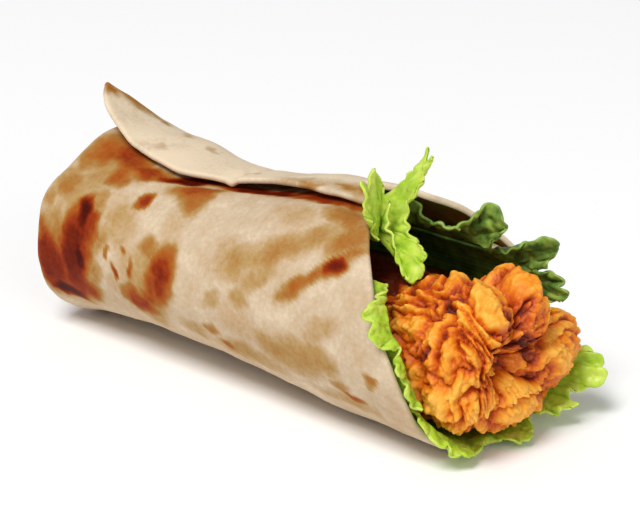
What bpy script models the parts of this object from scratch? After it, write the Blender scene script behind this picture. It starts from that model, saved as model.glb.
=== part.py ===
"""A crispy chicken wrap, lying on its flattened underside.

A round flour tortilla is rolled once round a breaded chicken fillet and lettuce. Its left end is
folded shut, its right end is open, and its free edge is a flap that lifts at the left. The roll
runs along X with the mouth at +X. Angles round the roll are 0 at the top and 90 degrees at the
front (-Y). Everything is in metres.
"""

import math

import bmesh
import bpy
from mathutils import Vector, noise

MM = 0.001

# The roll, measured to its outer face
ROLL_LENGTH = 0.1260
END_HALF_WIDTH = 0.0290
MOUTH_HALF_WIDTH = 0.0305
# (x, height) of the roll's top, which sags behind the chicken
ROLL_TOPS = (
    (-0.1260, 0.0520),
    (-0.1120, 0.0513),
    (-0.1000, 0.0500),
    (-0.0830, 0.0476),
    (-0.0636, 0.0487),
    (-0.0487, 0.0515),
    (-0.0400, 0.0534),
    (-0.0200, 0.0553),
    (0.0200, 0.0560),
)
# (x, height) of its underside, which arches between the closed end and the mouth
ROLL_BOTTOMS = (
    (-0.1260, 0.0000),
    (-0.1190, 0.0008),
    (-0.1110, 0.0030),
    (-0.0960, 0.0041),
    (-0.0750, 0.0042),
    (-0.0600, 0.0038),
    (-0.0450, 0.0028),
    (-0.0300, 0.0012),
    (-0.0140, 0.0000),
)
# (angle, half width of the place in degrees, how far it is pressed in, as a share) at the end
END_FLATS = (
    (32, 20, 0.10),
    (62, 14, -0.02),
    (125, 25, -0.05),
)
UNDERSIDE_FLAT = 0.0014
SHEET = 0.0018
END_ROUNDING = 0.0070

# The round edge of the tortilla, which gives the mouth its slant
TORTILLA_RADIUS = 0.115
RIM_REACH = 0.017
SHEET_MIDDLE_ANGLE = math.radians(170)
RIM_WAVE = 0.0006
# (degrees, mm) that the edge reaches past its even line
RIM_SHIFTS = (
    (-50, 0),
    (-20, -1.0),
    (0, -3.4),
    (20, -3.2),
    (30, -2.4),
    (45, -1.5),
    (60, -1.2),
    (75, 0.0),
    (90, 1.7),
    (100, 1.6),
    (112, 0.6),
    (125, 0),
)
# The turn under the flap starts deeper in the mouth: (degrees, mm)
INNER_TURN_STARTS = (
    (-70, 0),
    (-58, 26),
    (-20, 30),
    (-6, 12),
    (2, 0),
)

# The flap, and the hollow in the top of the roll where it lies
FLAP_ROOT = -72
# (x, angle) of the flap's free edge, as if it lay on the roll
FLAP_EDGE = (
    (-0.1190, 20),
    (-0.0980, 19),
    (-0.0895, 16),
    (-0.0830, 13.5),
    (-0.0755, 9.5),
    (-0.0685, 6.5),
    (-0.0600, 3.5),
    (-0.0500, 5),
    (-0.0425, 8),
    (-0.0330, 9),
    (-0.0200, 9.5),
)
# (x, how many degrees of the flap stand off the roll, straight up)
FLAP_PEEL = (
    (-0.1190, 61),
    (-0.1164, 47),
    (-0.1114, 34),
    (-0.1050, 23),
    (-0.0970, 11),
    (-0.0880, 0),
)
FLAP_TIP_LEAN = 0.25
ROOT_GAP = 0.0005
# (x, gap) under the flap's free edge, which sticks to the roll at one place
FLAP_GAPS = (
    (-0.0920, 0.0014),
    (-0.0780, 0.0016),
    (-0.0725, 0.0012),
    (-0.0702, 0.0006),
    (-0.0680, 0.0014),
    (-0.0600, 0.0022),
    (-0.0450, 0.0021),
    (-0.0330, 0.0014),
    (-0.0200, 0.0010),
)
FLAP_ARCH = 0.0004
HOLLOW_DEPTH = 0.0016

# The chicken fillet
FILLET_HALF_WIDTH = 0.0250
FILLET_HALF_HEIGHT = 0.0204
FREE_MIDDLE = Vector((0, 0.0004, 0.0248))
PACKED_MIDDLE = Vector((0, -0.0010, 0.0249))
FILLET_FRONT = 0.0292
FILLET_BACK = -0.1105
FRONT_ROUNDING = 0.012
PACKED_SCALE = 0.73
PACKED_SINK = 0.15
SIDE_SWELLS = (0.10, 0.06)
PIT_DEPTH = 0.0085
PIT_ASIDE = -0.0075
CRAG_SIZE = 0.0062
CRAG_HEIGHT = 0.0017
# (direction seen from the mouth in degrees, size) of the fillet's outline, which has five lobes
OUTLINE = (
    (-90, 0.95), (-60, 0.97), (-42, 1.00), (-20, 1.03), (-4, 1.01), (7, 0.90),
    (19, 0.68), (33, 0.61), (45, 0.66), (57, 0.81), (67, 0.93), (78, 0.86),
    (88, 0.62), (98, 0.80), (110, 0.97), (125, 0.89), (138, 0.82), (158, 0.87),
    (186, 0.93), (206, 0.98), (222, 0.99), (234, 0.97), (247, 0.95), (270, 0.95),
)
# The creases that run into the pit: (direction, depth)
CREASES = (
    (14, 0.0052),
    (88, 0.0034),
    (140, 0.0018),
    (186, 0.0016),
    (234, 0.0020),
    (-52, 0.0018),
)
CREASE_HALF_ANGLE = math.radians(12)

# Lettuce
LEAF = 0.0008
LEAF_DEPTH = 0.0020
LEAF_INSIDE = 0.4
LEAF_BEND = 1.6
LEAF_CLEAR = 0.0030

# Mesh steps
COLUMNS = 40
BODY_STATIONS = 18
CAP_STEPS = 7
STATION_POWER = 1.25
FLAP_COLUMNS = 9
LEAF_STEP = 2.4
LEAF_ROWS = (0, 0.12, 0.24, 0.34, 0.43, 0.53, 0.64, 0.76, 0.88, 1)


def blend(low, high, share):
    return low + (high - low) * share


def smooth(low, high, value):
    share = min(1.0, max(0.0, (value - low) / (high - low)))
    return share * share * (3 - 2 * share)


def curve(table, place):
    """The value at a place on the smooth line through a table's (place, value) rows."""
    if place <= table[0][0]:
        return table[0][1]
    if place >= table[-1][0]:
        return table[-1][1]
    after = next(index for index, row in enumerate(table) if row[0] >= place)
    slopes = []
    for index in (after - 1, after):
        left, right = table[max(index - 1, 0)], table[min(index + 1, len(table) - 1)]
        ends = index in (0, len(table) - 1)
        slopes.append(0.0 if ends else (right[1] - left[1]) / (right[0] - left[0]))
    (x0, y0), (x1, y1) = table[after - 1], table[after]
    width = x1 - x0
    t = (place - x0) / width
    return (
        (2 * t**3 - 3 * t * t + 1) * y0
        + (t**3 - 2 * t * t + t) * width * slopes[0]
        + (3 * t * t - 2 * t**3) * y1
        + (t**3 - t * t) * width * slopes[1]
    )


def folded(angle):
    """The angle brought between -180 and 180 degrees."""
    return math.remainder(angle, math.tau)


# ---------------------------------------------------------------- the roll's form


def roll_half_width(x):
    return blend(END_HALF_WIDTH, MOUTH_HALF_WIDTH, x / ROLL_LENGTH + 1)


def top_hollow(x, angle):
    """How far the top is pressed in under the flap. It ends in a ridge at the front."""
    near_end = smooth(-ROLL_LENGTH, -ROLL_LENGTH + 0.02, x)
    edge = math.radians(curve(FLAP_EDGE, x))
    front = 1 - smooth(edge + math.radians(2), edge + math.radians(14), angle)
    back = smooth(math.radians(-74), math.radians(-54), angle)
    return HOLLOW_DEPTH * near_end * front * back


def end_flat(x, angle):
    """How much of its radius the closed end has lost where it is pressed flat."""
    near_end = smooth(-0.086, -0.116, x)
    if near_end == 0:
        return 0.0
    degrees = math.degrees(angle)
    return near_end * sum(
        depth * math.exp(-(((degrees - place) / width) ** 2)) for place, width, depth in END_FLATS
    )


def roll_point(x, angle, depth=0.0, scale=1.0):
    """A point of the roll, this deep below its outer face. Scale draws it towards the middle."""
    top, bottom = curve(ROLL_TOPS, x), curve(ROLL_BOTTOMS, x)
    half_height = (top - bottom + UNDERSIDE_FLAT) / 2
    middle = top - half_height
    inset = depth + top_hollow(x, folded(angle))
    pressed = 1 - end_flat(x, folded(angle))
    y = -(roll_half_width(x) * pressed - inset) * math.sin(angle)
    z = max(middle + (half_height * pressed - inset) * math.cos(angle), bottom + depth)
    return Vector((x, y * scale, blend(middle, z, scale)))


def rim_x(angle):
    """Where the tortilla's round edge lies when it is rolled up."""
    arc = abs(folded(angle - SHEET_MIDDLE_ANGLE)) * MOUTH_HALF_WIDTH * 0.95
    drop = TORTILLA_RADIUS - math.sqrt(TORTILLA_RADIUS**2 - arc**2)
    shift = MM * curve(RIM_SHIFTS, math.degrees(folded(angle)))
    return RIM_REACH - drop + RIM_WAVE * math.sin(7 * angle) + shift


def start_of_turn(angle):
    """How much deeper in the mouth the sheet's first turn starts, under the flap."""
    return MM * curve(INNER_TURN_STARTS, math.degrees(folded(angle)))


def end_relief(y, z):
    """The closed end's upper fold lies over its lower ones, along a sagging line."""
    line = 0.0235 + 5.0 * y * y + 0.10 * y
    return 0.0018 * smooth(-0.0012, 0.0012, z - line)


def cap_shape(turn):
    """(x, scale) of the closed end's domed profile: turn is 0 at its middle, 90 at the wall."""
    scale = math.sin(turn) ** 0.625
    return -ROLL_LENGTH + END_ROUNDING * (1 - math.cos(turn) ** 0.625), scale


def station_x(station, angle, end):
    """The stations of the mesh lie closer together towards the closed end."""
    start = -ROLL_LENGTH + END_ROUNDING
    return blend(start, end, (station / BODY_STATIONS) ** STATION_POWER)


def roll_rings(depth):
    """Rings of points of one face of the roll, from the middle of the closed end to the mouth."""
    angles = [math.tau * column / COLUMNS for column in range(COLUMNS)]
    placed = []
    for step in range(1, CAP_STEPS):
        x, scale = cap_shape(math.radians(90 * (step / CAP_STEPS) ** 0.9))
        ring = []
        for angle in angles:
            point = roll_point(x, angle, depth * scale, scale)
            relief = end_relief(point.y, point.z) * (1 - smooth(0.72, 0.97, scale))
            point.x += depth * (1 - scale) - relief
            ring.append(point)
        placed.append(ring)
    ends = [rim_x(angle) - start_of_turn(angle) for angle in angles]
    for station in range(BODY_STATIONS + 1):
        placed.append(
            [
                roll_point(station_x(station, angle, end), angle, depth)
                for angle, end in zip(angles, ends)
            ]
        )
    return placed


# ---------------------------------------------------------------- the flap's form


def flap_point(x, across, height):
    """A point of the flap. Across is 0 at its root and 1 at its free edge, and height is the
    distance from its lower face. Where it is peeled it leaves the roll and goes straight on."""
    gap = blend(ROOT_GAP, curve(FLAP_GAPS, x), across**2)
    clearance = gap + height + FLAP_ARCH * math.sin(math.pi * across)
    edge = curve(FLAP_EDGE, x)
    hinge = max(FLAP_ROOT + 4, edge - curve(FLAP_PEEL, x))
    angle = blend(FLAP_ROOT, edge, across)
    if angle <= hinge:
        return roll_point(x, math.radians(angle), -clearance)
    base = roll_point(x, math.radians(hinge), -clearance)
    onward = (roll_point(x, math.radians(hinge + 1), -clearance) - base).normalized()
    onward.x -= FLAP_TIP_LEAN * smooth(-0.110, -0.1190, x)
    return base + onward * math.radians(angle - hinge) * curve(ROLL_TOPS, x) / 2


# ---------------------------------------------------------------- building the solids


def new_object(name, mesh, colour, roughness):
    material = bpy.data.materials.new(name)
    material.use_nodes = True
    shader = material.node_tree.nodes["Principled BSDF"]
    shader.inputs["Base Color"].default_value = (*colour, 1)
    shader.inputs["Roughness"].default_value = roughness
    mesh.materials.append(material)
    mesh.shade_smooth()
    obj = bpy.data.objects.new(name, mesh)
    bpy.context.scene.collection.objects.link(obj)
    return obj


def mesh_from(bm, name):
    bmesh.ops.recalc_face_normals(bm, faces=bm.faces)
    if bm.calc_volume(signed=True) < 0:
        bmesh.ops.reverse_faces(bm, faces=bm.faces)
    mesh = bpy.data.meshes.new(name)
    bm.to_mesh(mesh)
    bm.free()
    return mesh


def add_rings(bm, rings):
    return [[bm.verts.new(point) for point in ring] for ring in rings]


def join_rings(bm, rings, skipped=lambda station, column: False):
    for station, (ring, following) in enumerate(zip(rings, rings[1:])):
        for column in range(COLUMNS):
            if skipped(station, column):
                continue
            beside = (column + 1) % COLUMNS
            bm.faces.new((ring[column], ring[beside], following[beside], following[column]))


def close_middle(bm, ring):
    middle = sum((vert.co for vert in ring), Vector()) / len(ring)
    pole = bm.verts.new(middle)
    for column in range(COLUMNS):
        bm.faces.new((ring[column], pole, ring[(column + 1) % COLUMNS]))


def make_tortilla():
    """The rolled sheet. The flap grows out of the roll's outer face at the back, where the last
    turn of the sheet leaves the turn below it, and lies over the top with a gap under it."""
    bm = bmesh.new()
    outer = add_rings(bm, roll_rings(0.0))
    inner = add_rings(bm, roll_rings(SHEET))
    root = round(FLAP_ROOT / 360 * COLUMNS) % COLUMNS
    first = len(outer) - BODY_STATIONS - 1
    join_rings(bm, outer, lambda station, column: station >= first and column == root - 1)
    join_rings(bm, inner)
    close_middle(bm, outer[0])
    close_middle(bm, inner[0])
    for column in range(COLUMNS):
        beside = (column + 1) % COLUMNS
        bm.faces.new((outer[-1][column], outer[-1][beside], inner[-1][beside], inner[-1][column]))

    upper, lower = [], []
    for station in range(BODY_STATIONS + 1):
        ring = outer[first + station]
        above, below = [ring[root - 1]], [ring[root]]
        for column in range(FLAP_COLUMNS + 1):
            across = column / FLAP_COLUMNS
            angle = math.radians(blend(FLAP_ROOT, FLAP_EDGE[-1][1], across))
            x = station_x(station, angle, rim_x(angle))
            above.append(bm.verts.new(flap_point(x, across, SHEET)))
            if column:
                below.append(bm.verts.new(flap_point(x, across, 0.0)))
        upper.append(above)
        lower.append(below)
    for station in range(BODY_STATIONS):
        above, following = upper[station], upper[station + 1]
        for column in range(FLAP_COLUMNS + 1):
            bm.faces.new(
                (above[column], above[column + 1], following[column + 1], following[column])
            )
        below, following_below = lower[station], lower[station + 1]
        for column in range(FLAP_COLUMNS):
            bm.faces.new(
                (
                    below[column],
                    below[column + 1],
                    following_below[column + 1],
                    following_below[column],
                )
            )
        bm.faces.new((above[-1], below[-1], following_below[-1], following[-1]))
    for station in (0, BODY_STATIONS):
        above, below = upper[station], lower[station]
        bm.faces.new((above[0], above[1], below[0]))
        for column in range(FLAP_COLUMNS):
            bm.faces.new(
                (above[column + 1], above[column + 2], below[column + 1], below[column])
            )
    return new_object("tortilla", mesh_from(bm, "tortilla"), (0.78, 0.62, 0.42), 0.6)


# ---------------------------------------------------------------- the chicken


def crease_depth(angle):
    depth = 0.0
    for direction, deepest in CREASES:
        off = folded(angle - math.radians(direction))
        depth += deepest * math.exp(-((off / CREASE_HALF_ANGLE) ** 2))
    return depth


def crags(point):
    """The relief of the crust: ridges and hollows about 6 mm across."""
    here = point / CRAG_SIZE
    ridge = 1 - 2 * abs(noise.noise(here))
    return CRAG_HEIGHT * (0.6 * ridge + 0.6 * noise.noise(here * 2.1))


def fillet_profile(share):
    """(x, scale) of the fillet's rings, from the middle of its front to the middle of its back."""
    shoulder = FILLET_FRONT - FRONT_ROUNDING
    if share < 0.46:
        turn = share / 0.46 * math.pi / 2
        return shoulder + FRONT_ROUNDING * math.cos(turn) ** 0.8, math.sin(turn) ** 0.85
    if share < 0.74:
        return blend(shoulder, -0.012, (share - 0.46) / 0.28), 1.0
    if share < 0.92:
        return blend(-0.012, FILLET_BACK + 0.01, (share - 0.74) / 0.18), 1.0
    turn = (share - 0.92) / 0.08 * math.pi / 2
    return FILLET_BACK + 0.01 * (1 - math.sin(turn)), math.cos(turn)


def fillet_point(share, angle):
    """A point of the crust. The angle is 0 at +Y and 90 degrees at the top."""
    x, scale = fillet_profile(share)
    start = 0.002 + (0.004 if math.cos(angle) > 0 else 0.017) * math.cos(angle)
    free = smooth(start, start + 0.012, x)
    mouth = rim_x(angle - math.pi / 2)
    side_swell = SIDE_SWELLS[0] if math.cos(angle) < 0 else SIDE_SWELLS[1]
    swell = 1 + side_swell * math.cos(angle) ** 2 * smooth(mouth + 0.002, mouth + 0.008, x)
    degrees = (math.degrees(angle) + 90) % 360 - 90
    packed = PACKED_SCALE - PACKED_SINK * smooth(0.0, 0.8, math.sin(angle))
    size = blend(packed, curve(OUTLINE, degrees), free) * scale * swell
    side = Vector((0, math.cos(angle), math.sin(angle)))
    point = PACKED_MIDDLE.lerp(FREE_MIDDLE, free) + Vector(
        (x, side.y * FILLET_HALF_WIDTH * size, side.z * FILLET_HALF_HEIGHT * size)
    )
    front = smooth(0.44, 0.30, share)
    point.y += PIT_ASIDE * (1 - scale) ** 1.5 * front
    crease = crease_depth(angle) * smooth(0.08, 0.45, scale)
    point.x -= front * (PIT_DEPTH * math.exp(-((scale / 0.33) ** 2)) + crease)
    outward = (side * scale + Vector((math.sqrt(max(0.0, 1 - scale**2)), 0, 0))).normalized()
    if share > 0.5:
        outward.x *= -1
    return point + outward * crags(point) * blend(0.35, 1.0, free)


def make_chicken():
    """The breaded fillet, which runs through the roll and stands out of its mouth."""
    bm = bmesh.new()
    bmesh.ops.create_uvsphere(bm, u_segments=46, v_segments=40, radius=1)
    for vert in bm.verts:
        share = math.acos(max(-1.0, min(1.0, vert.co.z))) / math.pi
        vert.co = fillet_point(share, math.atan2(vert.co.y, vert.co.x))
    return new_object("chicken", mesh_from(bm, "chicken"), (0.74, 0.33, 0.08), 0.55)


# ---------------------------------------------------------------- the lettuce


def outward_at(x, angle):
    """The direction away from the middle of the roll."""
    middle = roll_point(x, angle, 0, 0)
    return (roll_point(x, angle) - middle).normalized()


def leaf_point(leaf, u, v):
    """A point of a leaf. U runs along its margin, v from deep inside the roll to the margin."""
    rows = leaf["margin"]
    degrees = blend(rows[0][0], rows[-1][0], u)
    sunk, ahead, across, up = (
        MM * curve([(row[0], row[column]) for row in rows], degrees) for column in (1, 2, 3, 4)
    )
    angle = math.radians(degrees)
    mouth = rim_x(angle) - 0.001
    phase = math.tau * leaf["waves"] * u + leaf["phase"]
    if v < LEAF_INSIDE:
        share = v / LEAF_INSIDE
        x = blend(leaf["start"], mouth, share)
        depth = blend(LEAF_DEPTH, sunk, smooth(0.4, 1.0, share))
        return roll_point(x, angle, SHEET + depth + 0.0002 * math.sin(phase + 60 * x))
    share = (v - LEAF_INSIDE) / (1 - LEAF_INSIDE)
    point = roll_point(mouth, angle, SHEET + sunk)
    side = Vector((0, across, up))
    clear = min(LEAF_CLEAR, max(0.75 * ahead, 0.3 * side.length))
    point.x += clear * min(1.0, share / 0.3) + (ahead - clear) * smooth(0.2, 1.0, share)
    point += side * share**LEAF_BEND
    out = outward_at(mouth, angle)
    around = Vector((1, 0, 0)).cross(out)
    size = leaf["ruffle"] * smooth(0.15, 1.0, share)
    point += out * size * math.sin(phase + 0.9 * share)
    return point + around * size * 0.5 * math.sin(2 * phase + 1.1)


# Each leaf's margin is a row of (angle round the roll in degrees, then in millimetres the leaf's
# distance inwards from the tortilla and how far its margin lies ahead of the mouth, to the back
# and up). Waves and phase place the ruffles.
LEAVES = {
    "lettuce_top": {
        "margin": (
            (-14, 2.4, 6, 0, 1),
            (-9, 2.4, 8, 1, 3),
            (-5, 2.4, 11, 2, 9),
            (-2, 2.4, 17, 4, 19),
            (1, 2.4, 17, 4, 15),
            (3.5, 2.5, 14, 0, 3),
            (6, 2.6, 19, -4, -3),
            (8.5, 2.6, 22.5, -9.0, -7.5),
            (11, 2.5, 20.5, -10.5, -7.5),
            (13, 2.6, 11, -4, 0),
            (15, 2.9, 5, 0, 12),
            (17.5, 3.1, 1.5, 0, 19),
            (20.5, 3.1, 0.5, -1, 17.5),
            (22.5, 3.1, 1, -1, 8),
            (25, 3.1, 3, 0, 1),
        ),
        "start": -0.074, "ruffle": 0.0009, "waves": 2.5, "phase": 0.6,
        "colour": (0.42, 0.66, 0.06),
    },
    "lettuce_front": {
        "margin": (
            (50, 2.6, 3, 0, 1),
            (56, 2.2, 3, -5, 2),
            (62, 2.0, 2.9, -8.5, 2),
            (68, 2.0, 3.4, -9, 0),
            (74, 2.0, 3.9, -7, -1),
            (78, 2.1, 3.9, -3, -1),
            (81, 2.1, 3.6, -0.5, 0),
            (86, 2.0, 4.5, -4, 0),
            (91, 1.9, 4.5, -4.5, 0),
            (95.5, 1.8, 3.2, -1.8, 0),
            (101, 1.8, 4, -4.5, 0),
            (107, 1.7, 4, -4, 0),
            (113, 1.7, 4, -2, 0),
        ),
        "start": -0.100, "ruffle": 0.0004, "waves": 3.0, "phase": 2.6,
        "colour": (0.40, 0.62, 0.06),
    },
    "lettuce_under": {
        "margin": (
            (118, 1.4, 3, -1, 0),
            (128, 1.4, 5, -2, -1),
            (138, 1.3, 8, -4, -1.8),
            (147, 1.2, 9, -4, -1.5),
            (154, 1.1, 8, -2, -1),
            (160, 1.1, 5.5, -0.6, -0.2),
            (166, 1.1, 3.4, 0, 0),
            (171, 1.1, 3.4, 0, 0),
            (177, 1.1, 6, -0.5, -0.5),
            (185, 1.1, 11, 0, -1),
            (194, 1.2, 9, 1, 0),
            (202, 1.2, 6, 0, 0),
        ),
        "start": -0.096, "ruffle": 0.0005, "waves": 3.0, "phase": 1.0,
        "colour": (0.38, 0.60, 0.08),
    },
    "lettuce_low_back": {
        "margin": (
            (206, 1.3, 8, 0, 0),
            (213, 1.4, 12, 2, 0),
            (219, 1.4, 13, 3, -2),
            (224, 1.3, 10, 2.5, -1),
            (230, 1.2, 15, 5.5, -2),
            (235, 1.1, 17, 7, 0),
            (240, 1.1, 15, 7, 1.5),
            (244, 1.1, 10, 5, 1),
        ),
        "start": -0.098, "ruffle": 0.0008, "waves": 2.5, "phase": 0.0,
        "colour": (0.36, 0.58, 0.08),
    },
    "lettuce_back": {
        "margin": (
            (270, 1.6, 8, 0, 0),
            (274, 1.6, 13, 0, 0),
            (279, 1.8, 16, 1, 1),
            (283, 1.8, 14, 0, 3),
            (286, 1.9, 11, -1, 3),
            (289, 2.0, 16, 1, 6),
            (293, 2.2, 18, 2, 9),
            (297, 2.4, 14, 1, 7),
            (300.5, 2.6, 9, -1, 2),
            (304, 2.8, 7, -1.5, 0),
        ),
        "start": -0.100, "ruffle": 0.0008, "waves": 2.5, "phase": 2.0,
        "colour": (0.14, 0.32, 0.07),
    },
    "lettuce_inner": {
        "margin": (
            (308.5, 2.8, 7, -1, -1),
            (311, 2.8, 12, 0, 3),
            (313.5, 2.8, 14, 1, 8),
            (316, 2.8, 11, 1, 11),
            (319, 2.8, 9, 0, 7),
            (322, 3.0, 8, -2, 2.5),
            (326, 3.4, 11, -3, 3),
            (331, 3.8, 13, -3.5, 2.5),
            (337, 4.2, 13, -3.5, 0),
            (342, 4.4, 12, -3, 0),
        ),
        "start": -0.095, "ruffle": 0.0006, "waves": 1.5, "phase": 1.2,
        "colour": (0.10, 0.24, 0.07),
    },
}


def make_leaf(name, leaf):
    """One leaf: a triangulated sheet with an even thickness, so both faces are split alike."""
    across = round((leaf["margin"][-1][0] - leaf["margin"][0][0]) / LEAF_STEP)
    bm = bmesh.new()
    rows = []
    for v in LEAF_ROWS:
        rows.append([bm.verts.new(leaf_point(leaf, i / across, v)) for i in range(across + 1)])
    for row, following in zip(rows, rows[1:]):
        for i in range(across):
            bm.faces.new((row[i], row[i + 1], following[i + 1], following[i]))
    bmesh.ops.triangulate(bm, faces=bm.faces)
    obj = new_object(name, mesh_from(bm, name), leaf["colour"], 0.45)
    thickness = obj.modifiers.new("thickness", "SOLIDIFY")
    thickness.thickness = LEAF
    thickness.offset = 0
    return obj


def recentre():
    """Puts the origin at the bottom centre of the whole wrap's box."""
    bpy.context.view_layer.update()
    graph = bpy.context.evaluated_depsgraph_get()
    corners = []
    for obj in bpy.data.objects:
        mesh = obj.evaluated_get(graph).to_mesh()
        corners += [obj.matrix_world @ vert.co for vert in mesh.vertices]
    low = Vector(min(point[axis] for point in corners) for axis in range(3))
    high = Vector(max(point[axis] for point in corners) for axis in range(3))
    middle = (low + high) / 2
    for obj in bpy.data.objects:
        obj.location -= Vector((middle.x, middle.y, low.z))


def main():
    for obj in list(bpy.data.objects):
        bpy.data.objects.remove(obj)
    make_tortilla()
    make_chicken()
    for name, leaf in LEAVES.items():
        make_leaf(name, leaf)
    recentre()


main()
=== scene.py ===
import math
import random

import bmesh
import bpy
import numpy as np
from mathutils import Matrix, Vector, noise


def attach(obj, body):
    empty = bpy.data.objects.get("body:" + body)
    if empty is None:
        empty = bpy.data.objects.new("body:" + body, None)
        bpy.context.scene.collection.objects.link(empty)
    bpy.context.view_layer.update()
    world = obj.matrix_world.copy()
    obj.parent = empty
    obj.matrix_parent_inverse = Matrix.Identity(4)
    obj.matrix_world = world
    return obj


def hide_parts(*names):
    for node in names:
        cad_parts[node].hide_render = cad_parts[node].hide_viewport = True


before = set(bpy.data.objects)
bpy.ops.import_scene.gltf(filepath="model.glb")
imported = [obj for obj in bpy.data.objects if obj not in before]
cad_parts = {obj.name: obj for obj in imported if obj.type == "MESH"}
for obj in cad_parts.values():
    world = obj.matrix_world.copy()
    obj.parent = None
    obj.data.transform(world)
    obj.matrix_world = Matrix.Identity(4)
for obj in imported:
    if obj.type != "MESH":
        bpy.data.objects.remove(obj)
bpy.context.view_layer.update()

# ------------------------------------------------------------------ tortilla
# The tortilla is a round flatbread of wheat flour, pressed thin and toasted on a hot plate, which
# blisters it in brown patches, and brown patches under the flap also paint its shade. It is rolled
# once round the filling with its left end tucked shut.
# Its free edge lies over the top as a flap, which has come loose and lifts at the left.

MM = 0.001
# Seeds for the random patches, and for noise_vector, which would else start from the clock
random.seed(41)
noise.seed_set(4)
# The wrap is drawn from the middle of its mouth, and is put where the CAD has it at the end
CENTRING = Vector((0.049576, 0.001127, 0))

ROLL_LENGTH = 0.1260
END_HALF_WIDTH = 0.0290
MOUTH_HALF_WIDTH = 0.0305
# (x, height) of the roll's top, which sags behind the chicken
ROLL_TOPS = (
    (-0.1260, 0.0520),
    (-0.1120, 0.0513),
    (-0.1000, 0.0500),
    (-0.0830, 0.0476),
    (-0.0636, 0.0487),
    (-0.0487, 0.0515),
    (-0.0400, 0.0534),
    (-0.0200, 0.0553),
    (0.0200, 0.0560),
)
# (x, height) of its underside, which arches between the closed end and the mouth
ROLL_BOTTOMS = (
    (-0.1260, 0.0000),
    (-0.1190, 0.0008),
    (-0.1110, 0.0030),
    (-0.0960, 0.0041),
    (-0.0750, 0.0042),
    (-0.0600, 0.0038),
    (-0.0450, 0.0028),
    (-0.0300, 0.0012),
    (-0.0140, 0.0000),
)
# (angle, half width of the place in degrees, how far it is pressed in, as a share) at the end
END_FLATS = (
    (32, 20, 0.10),
    (62, 14, -0.02),
    (125, 25, -0.05),
)
END_FLATS_REACH = (-0.086, -0.116)
UNDERSIDE_FLAT = 0.0014
SHEET = 0.0018
END_ROUNDING = 0.0070
END_POWER = 0.625
# The closed end's folds: the line under the upper one, how sharp they are, and how far they stand out
FOLD_LINE = 0.0235
FOLD_EDGE = 0.0005
UPPER_FOLD = 0.0020
SIDE_TUCK = 0.0009
PLEAT = 0.0005

TORTILLA_RADIUS = 0.115
RIM_REACH = 0.017
SHEET_MIDDLE_ANGLE = math.radians(170)
RIM_WAVE = 0.0006
# (degrees, mm) that the edge reaches past its even line
RIM_SHIFTS = (
    (-50, 0),
    (-20, -1.0),
    (0, -3.4),
    (20, -3.2),
    (30, -2.4),
    (45, -1.5),
    (60, -1.2),
    (75, 0.0),
    (90, 1.7),
    (100, 1.6),
    (112, 0.6),
    (125, 0),
)
# The turn under the flap starts deeper in the mouth: (degrees, mm)
INNER_TURN_STARTS = (
    (-70, 0),
    (-58, 26),
    (-20, 30),
    (-6, 12),
    (2, 0),
)

FLAP_ROOT = -72
# (x, angle) of the flap's free edge, as if it lay on the roll
FLAP_EDGE = (
    (-0.1190, 11),
    (-0.1178, 12.5),
    (-0.1114, 12.2),
    (-0.1050, 12.5),
    (-0.0980, 12.8),
    (-0.0895, 12),
    (-0.0830, 10.5),
    (-0.0755, 8.4),
    (-0.0685, 6.0),
    (-0.0600, 3.5),
    (-0.0500, 5),
    (-0.0425, 8),
    (-0.0330, 9),
    (-0.0200, 9.5),
)
# (x, how many degrees of the flap stand off the roll, straight up)
FLAP_PEEL = (
    (-0.1190, 54),
    (-0.1164, 41),
    (-0.1114, 24),
    (-0.1050, 13.5),
    (-0.0970, 4.5),
    (-0.0890, 0),
)
FLAP_TIP_LEAN = 0.30
ROOT_GAP = 0.0005
# (x, gap) under the flap's free edge, which comes nearest to the roll at one place
FLAP_GAPS = (
    (-0.0920, 0.0014),
    (-0.0780, 0.0016),
    (-0.0725, 0.0012),
    (-0.0702, 0.0003),
    (-0.0680, 0.0014),
    (-0.0600, 0.0022),
    (-0.0450, 0.0021),
    (-0.0330, 0.0014),
    (-0.0200, 0.0010),
)
FLAP_ARCH = 0.0004
HOLLOW_DEPTH = 0.0016
# Where the hollow ends: in degrees past the flap's edge, and in degrees round the roll
HOLLOW_FRONT = (2, 14)
HOLLOW_BACK = (-74, -54)
# One blister on the flap: (x, across), its half sizes and its height
BLISTER = (-0.097, 0.6)
BLISTER_SIZE = (0.006, 0.2)
BLISTER_HEIGHT = 0.0006

COLUMNS = 220
STATIONS = 150
INNER_STATIONS = 48
STATION_POWER = 1.12
FLAP_COLUMNS = 56
EDGE_STEPS = 5

# Soft dents all over the sheet: (how wide, how deep)
DENTS = ((0.017, 0.00060), (0.0075, 0.00028), (0.0032, 0.00008))
# Folds pressed into the sheet: (x, angle, x, angle, depth, half width), in mm and degrees
FOLDS = (
    (-103, 36, -88, 17, 0.75, 1.6),
    (-118, 28, -106, 8, 0.40, 2.5),
    (-72, 36, -64, 66, 0.22, 2.4),
    (-64, 66, -63, 96, 0.18, 2.2),
    (-60, 28, -55, 58, 0.16, 2.6),
    (-55, 58, -57, 88, 0.20, 2.4),
    (-50, 40, -45, 76, 0.15, 2.8),
    (-30, 60, -4, 42, 0.20, 2.2),
    (-34, 76, -12, 62, 0.16, 2.6),
    (-20, 92, 2, 84, 0.14, 2.6),
    (-92, 58, -84, 96, 0.16, 2.2),
    (-100, -30, -60, -50, 0.30, 3.0),
    (-110, -70, -70, -88, 0.35, 3.0),
    (-60, -96, -10, -84, 0.25, 3.2),
    (-112, -110, -80, -132, 0.30, 2.6),
)


def blend(low, high, share):
    return low + (high - low) * share


def smooth(low, high, value):
    share = min(1.0, max(0.0, (value - low) / (high - low)))
    return share * share * (3 - 2 * share)


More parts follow.
